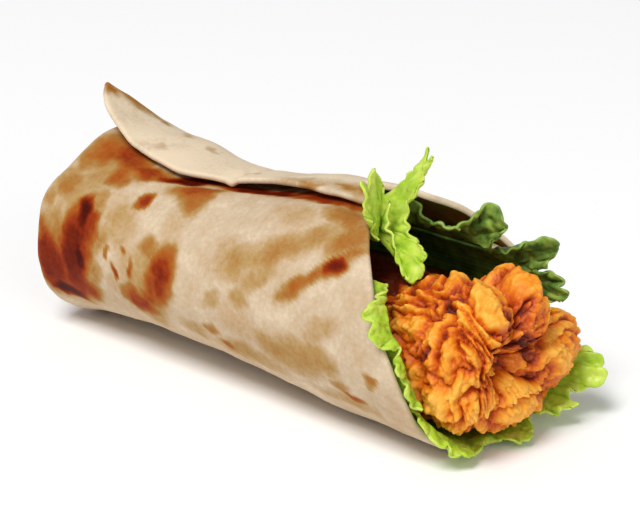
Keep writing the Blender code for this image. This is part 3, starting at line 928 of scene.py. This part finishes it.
def fillet_point(share, angle):
    """A point of the crust, and how high it stands. The angle is 0 at +Y and 90 at the top."""
    x, scale = fillet_profile(share)
    start = 0.002 + (0.004 if math.cos(angle) > 0 else 0.017) * math.cos(angle)
    free = smooth(start, start + 0.012, x)
    mouth = rim_x(angle - math.pi / 2)
    side_swell = SIDE_SWELLS[0] if math.cos(angle) < 0 else SIDE_SWELLS[1]
    swell = 1 + side_swell * math.cos(angle) ** 2 * smooth(mouth + 0.002, mouth + 0.008, x)
    degrees = (math.degrees(angle) + 90) % 360 - 90
    packed = PACKED_SCALE - PACKED_SINK * smooth(0.0, 0.8, math.sin(angle))
    size = blend(packed, curve(OUTLINE, degrees), free) * scale * swell
    side = Vector((0, math.cos(angle), math.sin(angle)))
    point = PACKED_MIDDLE.lerp(FREE_MIDDLE, free) + Vector(
        (x, side.y * FILLET_HALF_WIDTH * size, side.z * FILLET_HALF_HEIGHT * size)
    )
    front = smooth(0.54, 0.38, share)
    point.y += PIT_ASIDE * (1 - scale) ** 1.5 * front
    crease = crease_depth(angle) * smooth(0.08, 0.45, scale)
    pit = math.exp(-((scale / 0.33) ** 2))
    point.x -= front * (PIT_DEPTH * pit + crease)
    outward = (side * scale + Vector((math.sqrt(max(0.0, 1 - scale**2)), 0, 0))).normalized()
    if share > 0.6:
        outward.x *= -1
    height, high = crust(point)
    # Painted shade: the crust is darker in the pit and the creases at the front, and deep in the roll
    high -= front * (0.12 * pit + 26 * crease) + 0.8 * smooth(-0.002, -0.013, point.x)
    return point + outward * height * blend(0.4, 1.0, free), high


def finish_mesh(obj):
    """Turns the faces outwards and shades them smooth. The object is the active one."""
    bpy.ops.object.mode_set(mode="EDIT")
    bpy.ops.mesh.select_all(action="SELECT")
    bpy.ops.mesh.normals_make_consistent(inside=False)
    bpy.ops.object.mode_set(mode="OBJECT")
    obj.data.shade_smooth()


deselect()
bpy.ops.mesh.primitive_uv_sphere_add(segments=330, ring_count=250, radius=1)
fillet = bpy.context.object
fillet.name = "breaded_fillet"
fillet.data.name = "breaded_fillet"
heights_and_shade = []
for vert in fillet.data.vertices:
    share = math.acos(max(-1.0, min(1.0, vert.co.z))) / math.pi
    point, high = fillet_point(share, math.atan2(vert.co.y, vert.co.x))
    vert.co = point + CENTRING
    heights_and_shade.append(high)
attribute = fillet.data.attributes.new("crust_height_and_shade", "FLOAT", "POINT")
attribute.data.foreach_set("value", np.array(heights_and_shade, np.float32))
finish_mesh(fillet)

# Fried breading: crisp, slightly oily batter, golden on its knobs and red-brown in its creases, which
# also paints highlight and shade
breading, tree = new_material("fried_breading")
place = add(tree, "ShaderNodeTexCoord")
standing_and_shade = add(tree, "ShaderNodeAttribute", {"attribute_name": "crust_height_and_shade"})
# Browner and paler batter, 5 mm across, and its fine specks, 0.9 mm across
level = mottled(
    tree, place, standing_and_shade.outputs["Fac"],
    ((0.005, 3.0, 0.6, -0.12, 0.12), (0.0009, 2.0, 0.6, -0.08, 0.08)),
)
shades = add(
    tree, "ShaderNodeValToRGB", None, {"Fac": level},
    stops=(
        (0.00, "#5c1a05"),
        (0.16, "#98340a"),
        (0.32, "#c9560e"),
        (0.50, "#e37e1b"),
        (0.68, "#ef9a28"),
        (0.92, "#f8b444"),
    ),
)
# Grit of the crumbs, 0.6 mm across
grit = add(
    tree, "ShaderNodeTexNoise", {"Scale": 1 / 0.0006, "Detail": 3.0, "Roughness": 0.7},
    {"Vector": place.outputs["Object"]},
)
bump = add(
    tree, "ShaderNodeBump", {"Strength": 0.5, "Distance": 0.0002}, {"Height": grit.outputs["Fac"]}
)
surface = add(
    tree, "ShaderNodeBsdfPrincipled",
    {"IOR": 1.45, "Roughness": 0.42, "Specular IOR Level": 0.3},
    {"Base Color": shades.outputs["Color"], "Normal": bump.outputs["Normal"]},
)
add(tree, "ShaderNodeOutputMaterial", None, {"Surface": surface.outputs["BSDF"]})
fillet.data.materials.append(breading)
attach(fillet, "root")
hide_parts("chicken")

# ------------------------------------------------------------------ lettuce
# Six torn leaves of lettuce lie between the tortilla and the chicken. Each is a thin, wavy blade
# with veins, a frilled margin and a puckered face. The upper two at the back are dark green.

LEAF = 0.0007
LEAF_DEPTH = 0.0020
LEAF_INSIDE = 0.4
LEAF_BEND = 1.6
LEAF_CLEAR = 0.0030
# Degrees round the roll between a leaf's columns, and between those of a leaf with fingers
COLUMN_STEP = 0.24
FINGER_COLUMN_STEP = 0.14
LEAF_ROWS = 90
# The first fifth of the rows is spread over the part that is deepest inside the roll
HIDDEN_ROWS = 0.2
HIDDEN_PART = 0.38
# In mm along the margin: the waves, the frills on them, the sideways sway, and the veins
WAVE = 8.5
FRILL = 4.3
SWAY = 5.7
VEIN = 5.0
BRANCH = 2.2
NOTCH = 0.28

# Each leaf's margin is a row of (angle round the roll in degrees, then in millimetres the leaf's
# distance inwards from the tortilla and how far its margin lies ahead of the mouth, to the back
# and up). Lobe and frill are the sizes of the margin's scallops and of its frills.
LEAVES = {
    "lettuce_top": {
        "margin": (
            (-14, 2.4, 6, 0, 1), (-9, 2.4, 8, 1, 3),
            (-5, 2.4, 11, 3.6, 9), (-3, 2.4, 16, 7.6, 17.5),
            (-1, 2.4, 17, 7.6, 19.5), (1, 2.4, 17, 4.6, 15),
            (3.5, 2.5, 14, 0, 3), (6, 2.6, 21, -3, -3),
            (8, 2.6, 24.5, -7.2, -6.0), (11, 2.5, 20.5, -9.8, -7.2),
            (13, 2.6, 10, -3, 1), (15, 2.9, 5, 0, 11),
            (16.5, 3.0, 3.4, -1.2, 16.5), (18.5, 3.1, 3, -3.8, 18),
            (20.5, 3.1, 3, -6, 16), (22.5, 3.1, 3, -5.4, 9),
            (25, 3.1, 3, -1, 1),
        ),
        "start": -0.074, "lobe": 9.0, "frill": 0.5, "seed": 1, "dark": False,
    },
    "lettuce_front": {
        "margin": (
            (50, 2.6, 3.6, 0, 0.4), (56, 2.2, 4, -4, 1.6),
            (62, 2.0, 2.9, -8.5, 2), (68, 2.0, 3.4, -9, 0),
            (74, 2.0, 3.9, -7, -1), (78, 2.1, 3.9, -3, -1),
            (81, 2.1, 3.6, -0.5, 0), (86, 2.0, 4.5, -4, 0),
            (91, 1.9, 4.5, -4.5, 0), (95.5, 1.8, 3.2, -1.8, 0),
            (101, 1.8, 4, -4.5, 0), (107, 1.7, 4, -4, 0),
            (113, 1.7, 4, -2, 0),
        ),
        "start": -0.100, "lobe": 8.0, "frill": 0.6, "seed": 2, "dark": False,
    },
    "lettuce_under": {
        "margin": (
            (118, 0.9, 3, -2.4, -0.2), (128, 1.1, 5, -3.5, -1.6),
            (138, 1.3, 8, -4, -1.8), (147, 1.2, 9, -4, -1.5),
            (154, 1.1, 8, -2, -1), (160, 1.1, 5.5, -0.6, -0.2),
            (166, 1.1, 3.4, 0, 0), (171, 1.1, 3.4, 0, 0),
            (177, 1.1, 6, -0.5, -0.5), (185, 1.1, 11, 0, -1),
            (194, 1.2, 9, 1, 0), (202, 1.2, 6, 0, 0),
        ),
        "start": -0.096, "lobe": 5.0, "frill": 0.7, "seed": 3, "dark": False,
    },
    "lettuce_low_back": {
        "margin": (
            (206, 1.3, 8, 0, 0), (213, 1.4, 12, 2, 0),
            (219, 1.4, 13, 3, -2), (224, 1.3, 10, 2.5, -1),
            (230, 1.2, 15, 6.4, -2.4), (235, 1.1, 17, 7.8, -0.4),
            (240, 1.1, 14, 8, 1.2), (244, 1.1, 8.5, 6.4, 0.6),
        ),
        "start": -0.098, "lobe": 5.5, "frill": 0.7, "seed": 4, "dark": False,
    },
    "lettuce_back": {
        "margin": (
            (270, 1.6, 8, 0, 0), (274, 1.6, 13, 0, 0),
            (279, 1.8, 16, 1, 1), (283, 1.8, 14, 0, 3),
            (286, 1.9, 11, -1, 3), (289, 2.0, 16, 1, 6),
            (293, 2.2, 18, 2, 9), (297, 2.4, 14, 1, 7),
            (300.5, 2.6, 9, -1, 2), (302.5, 2.8, 7, -1.0, 0.5),
        ),
        "start": -0.100, "lobe": 9.0, "frill": 0.6, "seed": 5, "dark": True,
    },
    "lettuce_inner": {
        "margin": (
            (309.5, 2.8, 7, -1.2, 0), (311, 2.8, 12, 0, 3),
            (313.5, 2.8, 14, 1, 8), (316, 2.8, 11, 1, 11),
            (319, 2.8, 9, 0, 7), (322, 3.0, 8, -2, 2.5),
            (326, 3.4, 11, -3, 3), (331, 3.8, 12, -3.5, 2.5),
            (335, 4.1, 7, -3, 6), (338, 4.3, 5, -1, 9.5),
            (340.5, 4.4, 4, 0, 7), (342.5, 4.4, 4, 0, 1),
        ),
        "start": -0.095, "lobe": 10.0, "frill": 0.6, "seed": 6, "dark": True,
    },
}


def leaf_guide(leaf, u):
    """Where the leaf leaves the mouth at u along its margin, and how its blade goes on."""
    rows = leaf["margin"]
    degrees = blend(rows[0][0], rows[-1][0], u)
    sunk, ahead, across, up = (
        MM * curve([(row[0], row[column]) for row in rows], degrees) for column in (1, 2, 3, 4)
    )
    angle = math.radians(degrees)
    return {
        "angle": angle,
        "mouth": rim_x(angle) - 0.001,
        "sunk": sunk,
        "ahead": ahead,
        "side": Vector((0, across, up)),
    }


def blade_point(guide, share):
    """A point of the even blade outside the mouth: share is 0 at the mouth and 1 at the margin."""
    point = roll_point(guide["mouth"], guide["angle"], SHEET + guide["sunk"])
    clear = min(LEAF_CLEAR, max(0.75 * guide["ahead"], 0.3 * guide["side"].length))
    point.x += clear * min(1.0, share / 0.3) + (guide["ahead"] - clear) * smooth(0.2, 1.0, share)
    return point + guide["side"] * share**LEAF_BEND


def leaf_guides(leaf, columns):
    """The guides of a leaf's columns, with the distance along the margin and the directions."""
    guides = [leaf_guide(leaf, column / columns) for column in range(columns + 1)]
    margin = [blade_point(guide, 1.0) for guide in guides]
    spread = round(columns / 30)
    along = 0.0
    for column, guide in enumerate(guides):
        if column:
            along += (margin[column] - margin[column - 1]).length
        before, after = margin[max(column - 1, 0)], margin[min(column + 1, columns)]
        guide["along"] = along
        guide["tangent"] = (after - before).normalized()
        onward = (margin[column] - blade_point(guide, 0.9)).normalized()
        guide["normal"] = guide["tangent"].cross(onward)
    for column, guide in enumerate(guides):
        beside = guides[max(0, column - spread) : column + spread + 1]
        guide["face"] = sum((near["normal"] for near in beside), Vector()).normalized()
    return guides


def leaf_point(leaf, guide, v):
    """A point of a leaf. V runs from deep inside the roll to the margin, which is frilled."""
    along, seed = guide["along"] / MM, leaf["seed"]
    if v < LEAF_INSIDE:
        share = v / LEAF_INSIDE
        x = blend(leaf["start"], guide["mouth"], share)
        depth = blend(LEAF_DEPTH, guide["sunk"], smooth(0.4, 1.0, share))
        depth += 0.0002 * math.sin(guide["angle"] * 12 + 60 * x)
        return roll_point(x, guide["angle"], SHEET + depth)
    share = (v - LEAF_INSIDE) / (1 - LEAF_INSIDE)
    wander = 1.6 * noise.noise(Vector((along / 6, seed, 0)))
    scallop = abs(math.sin(math.pi * (along + wander) / leaf["lobe"])) ** 0.5
    notch = NOTCH * guide["normal"].length ** 2 * (1 - scallop)
    point = blade_point(guide, share * (1 - notch * smooth(0.45, 1.0, share)))
    face = guide["face"]
    size = leaf["frill"] * MM * smooth(0.15, 1.0, share)
    wave = math.sin(math.tau * (along + 2 * wander) / WAVE + seed + 1.2 * share)
    frill = math.sin(math.tau * along / FRILL + 2 * seed + 0.8 * share)
    point += face * size * (wave + 0.75 * share * frill)
    point += guide["tangent"] * size * 0.4 * math.sin(math.tau * along / SWAY + seed)
    here = point / MM
    pucker = noise.noise(here / 3.2) * 0.0008 + noise.noise(here / 1.5) * 0.0004
    return point + face * pucker * smooth(0.05, 0.4, share)


def vein_line(leaf, guide, v):
    """How near a spot of the blade is to a vein, between 0 and 1. They branch to the margin."""
    along = guide["along"] / MM
    bent = along + 0.8 * noise.noise(Vector((along / 3, 8 * v, leaf["seed"])))
    main = 1 - abs(math.remainder(bent, VEIN)) / 0.45
    branch = 1 - abs(math.remainder(bent + 9 * v, BRANCH)) / 0.30
    return max(0.0, main * (1.15 - v), 0.55 * branch)


# Fresh lettuce: a waxy, slightly translucent blade, paler at its veins, and lighter along its margin
# as a painted highlight
def make_lettuce(name, light, deep, pale, through):
    material, tree = new_material(name)
    place = add(tree, "ShaderNodeTexCoord")
    vein = add(tree, "ShaderNodeAttribute", {"attribute_name": "vein"})
    margin = add(tree, "ShaderNodeAttribute", {"attribute_name": "margin"})
    # Deeper and lighter green in patches 4 mm across
    patches = add(
        tree, "ShaderNodeTexNoise", {"Scale": 1 / 0.004, "Detail": 2.0, "Roughness": 0.5},
        {"Vector": place.outputs["Object"]},
    )
    # Fine cells of the blade, 0.8 mm across
    cells = add(
        tree, "ShaderNodeTexVoronoi", {"Scale": 1 / 0.0008}, {"Vector": place.outputs["Object"]}
    )
    # The lighter green along the margin is a painted highlight
    patches_and_margin_highlight = add(
        tree, "ShaderNodeMath", {"operation": "MULTIPLY_ADD", 1: 0.30},
        {0: margin.outputs["Fac"], 2: patches.outputs["Fac"]},
    )
    blade = add(
        tree, "ShaderNodeValToRGB", None, {"Fac": patches_and_margin_highlight.outputs["Value"]},
        stops=((0.36, deep), (0.66, light), (0.86, pale)),
    )
    veined = add(
        tree, "ShaderNodeMix", {"data_type": "RGBA", 7: colour(pale)},
        {0: vein.outputs["Fac"], 6: blade.outputs["Color"]},
    )
    bump = add(
        tree, "ShaderNodeBump", {"Strength": 0.35, "Distance": 0.00015},
        {"Height": cells.outputs["Distance"]},
    )
    surface = add(
        tree, "ShaderNodeBsdfPrincipled",
        {"IOR": 1.42, "Roughness": 0.36, "Subsurface Weight": through,
         "Subsurface Radius": (0.5, 1.0, 0.15), "Subsurface Scale": 0.0012},
        {"Base Color": veined.outputs[2], "Normal": bump.outputs["Normal"]},
    )
    add(tree, "ShaderNodeOutputMaterial", None, {"Surface": surface.outputs["BSDF"]})
    return material


light_lettuce = make_lettuce("light_lettuce", "#abcc31", "#779c25", "#cbdf5c", 0.35)
dark_lettuce = make_lettuce("dark_lettuce", "#56772f", "#2f4b1f", "#93b24d", 0.15)
for name, leaf in LEAVES.items():
    rows = leaf["margin"]
    step = FINGER_COLUMN_STEP if name == "lettuce_top" else COLUMN_STEP
    columns = round((rows[-1][0] - rows[0][0]) / step)
    guides = leaf_guides(leaf, columns)
    deselect()
    bpy.ops.mesh.primitive_grid_add(x_subdivisions=columns, y_subdivisions=LEAF_ROWS, size=1)
    blade = bpy.context.object
    blade.name = "leaf_" + name[8:]
    blade.data.name = blade.name
    veins, margin_highlights = [], []
    for vert in blade.data.vertices:
        guide = guides[min(columns, max(0, round((vert.co.x + 0.5) * columns)))]
        v = vert.co.y + 0.5
        if v < HIDDEN_ROWS:
            v *= HIDDEN_PART / HIDDEN_ROWS * LEAF_INSIDE
        else:
            v = blend(HIDDEN_PART * LEAF_INSIDE, 1, (v - HIDDEN_ROWS) / (1 - HIDDEN_ROWS))
        vert.co = leaf_point(leaf, guide, v) + CENTRING
        veins.append(0.55 * vein_line(leaf, guide, v))
        margin_highlights.append(max(0.0, v - LEAF_INSIDE) / (1 - LEAF_INSIDE))
    for kind, values in (("vein", veins), ("margin", margin_highlights)):
        attribute = blade.data.attributes.new(kind, "FLOAT", "POINT")
        attribute.data.foreach_set("value", np.array(values, np.float32))
    thickness = blade.modifiers.new("thickness", "SOLIDIFY")
    thickness.thickness = LEAF
    thickness.offset = 0
    bpy.ops.object.modifier_apply(modifier="thickness")
    finish_mesh(blade)
    blade.data.materials.append(dark_lettuce if leaf["dark"] else light_lettuce)
    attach(blade, "root")
    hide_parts(name)

# ------------------------------------------------------------------ studio
# A plain white floor in even light from all round, a soft lamp high in front, a weak one at the
# mouth's side, and the camera at the photo's angle.

deselect()
bpy.ops.mesh.primitive_plane_add(size=6)
floor = bpy.context.object
floor.name = "floor"
# Matt white card, which shows the shadow and nothing else
white, tree = new_material("white_card")
surface = add(
    tree, "ShaderNodeBsdfPrincipled", {"Base Color": colour("#ffffff"), "Roughness": 0.9}
)
add(tree, "ShaderNodeOutputMaterial", None, {"Surface": surface.outputs["BSDF"]})
floor.data.materials.append(white)

world = bpy.data.worlds.new("studio")
world.use_nodes = True
world.node_tree.nodes["Background"].inputs["Color"].default_value = (1, 1, 1, 1)
world.node_tree.nodes["Background"].inputs["Strength"].default_value = 0.33
bpy.context.scene.world = world
bpy.context.scene.view_settings.view_transform = "Standard"

MIDDLE = Vector((0, 0, 0.028)) + CENTRING
for name, place, size, power in (
    ("overhead", (0.50, -2.10, 3.60), 1.7, 140.0),
    ("side", (1.50, -0.50, 0.90), 0.9, 5.0),
):
    deselect()
    bpy.ops.object.light_add(type="AREA", location=place)
    lamp = bpy.context.object
    lamp.name = name
    lamp.data.size = size
    lamp.data.energy = power
    lamp.rotation_euler = (MIDDLE - Vector(place)).to_track_quat("-Z", "Y").to_euler()

# The camera stands a little way round from the roll's side, above it and 600 mm away. It looks
# past the mouth, by these pixels of the frame, which puts the wrap where it is in the photo
CAMERA_ROUND = math.radians(42)
CAMERA_RISE = math.radians(22.4)
CAMERA_DISTANCE = 0.6
FRAME_WIDTH = 640
FOCAL = 2430
AIM_LEFT = 121
AIM_UP = 53
SENSOR_WIDTH = 36
away = Vector(
    (
        math.sin(CAMERA_ROUND) * math.cos(CAMERA_RISE),
        -math.cos(CAMERA_ROUND) * math.cos(CAMERA_RISE),
        math.sin(CAMERA_RISE),
    )
)
right = (-away).cross(Vector((0, 0, 1))).normalized()
above = right.cross(-away)
ahead = (-away - right * AIM_LEFT / FOCAL + above * AIM_UP / FOCAL).normalized()
right = ahead.cross(above).normalized()
above = right.cross(ahead)
turned = Matrix((right, above, -ahead)).transposed().to_4x4()
deselect()
bpy.ops.object.camera_add()
camera = bpy.context.object
camera.matrix_world = Matrix.Translation(MIDDLE + away * CAMERA_DISTANCE) @ turned
camera.data.sensor_width = SENSOR_WIDTH
camera.data.lens = SENSOR_WIDTH * FOCAL / FRAME_WIDTH
bpy.context.scene.camera = camera
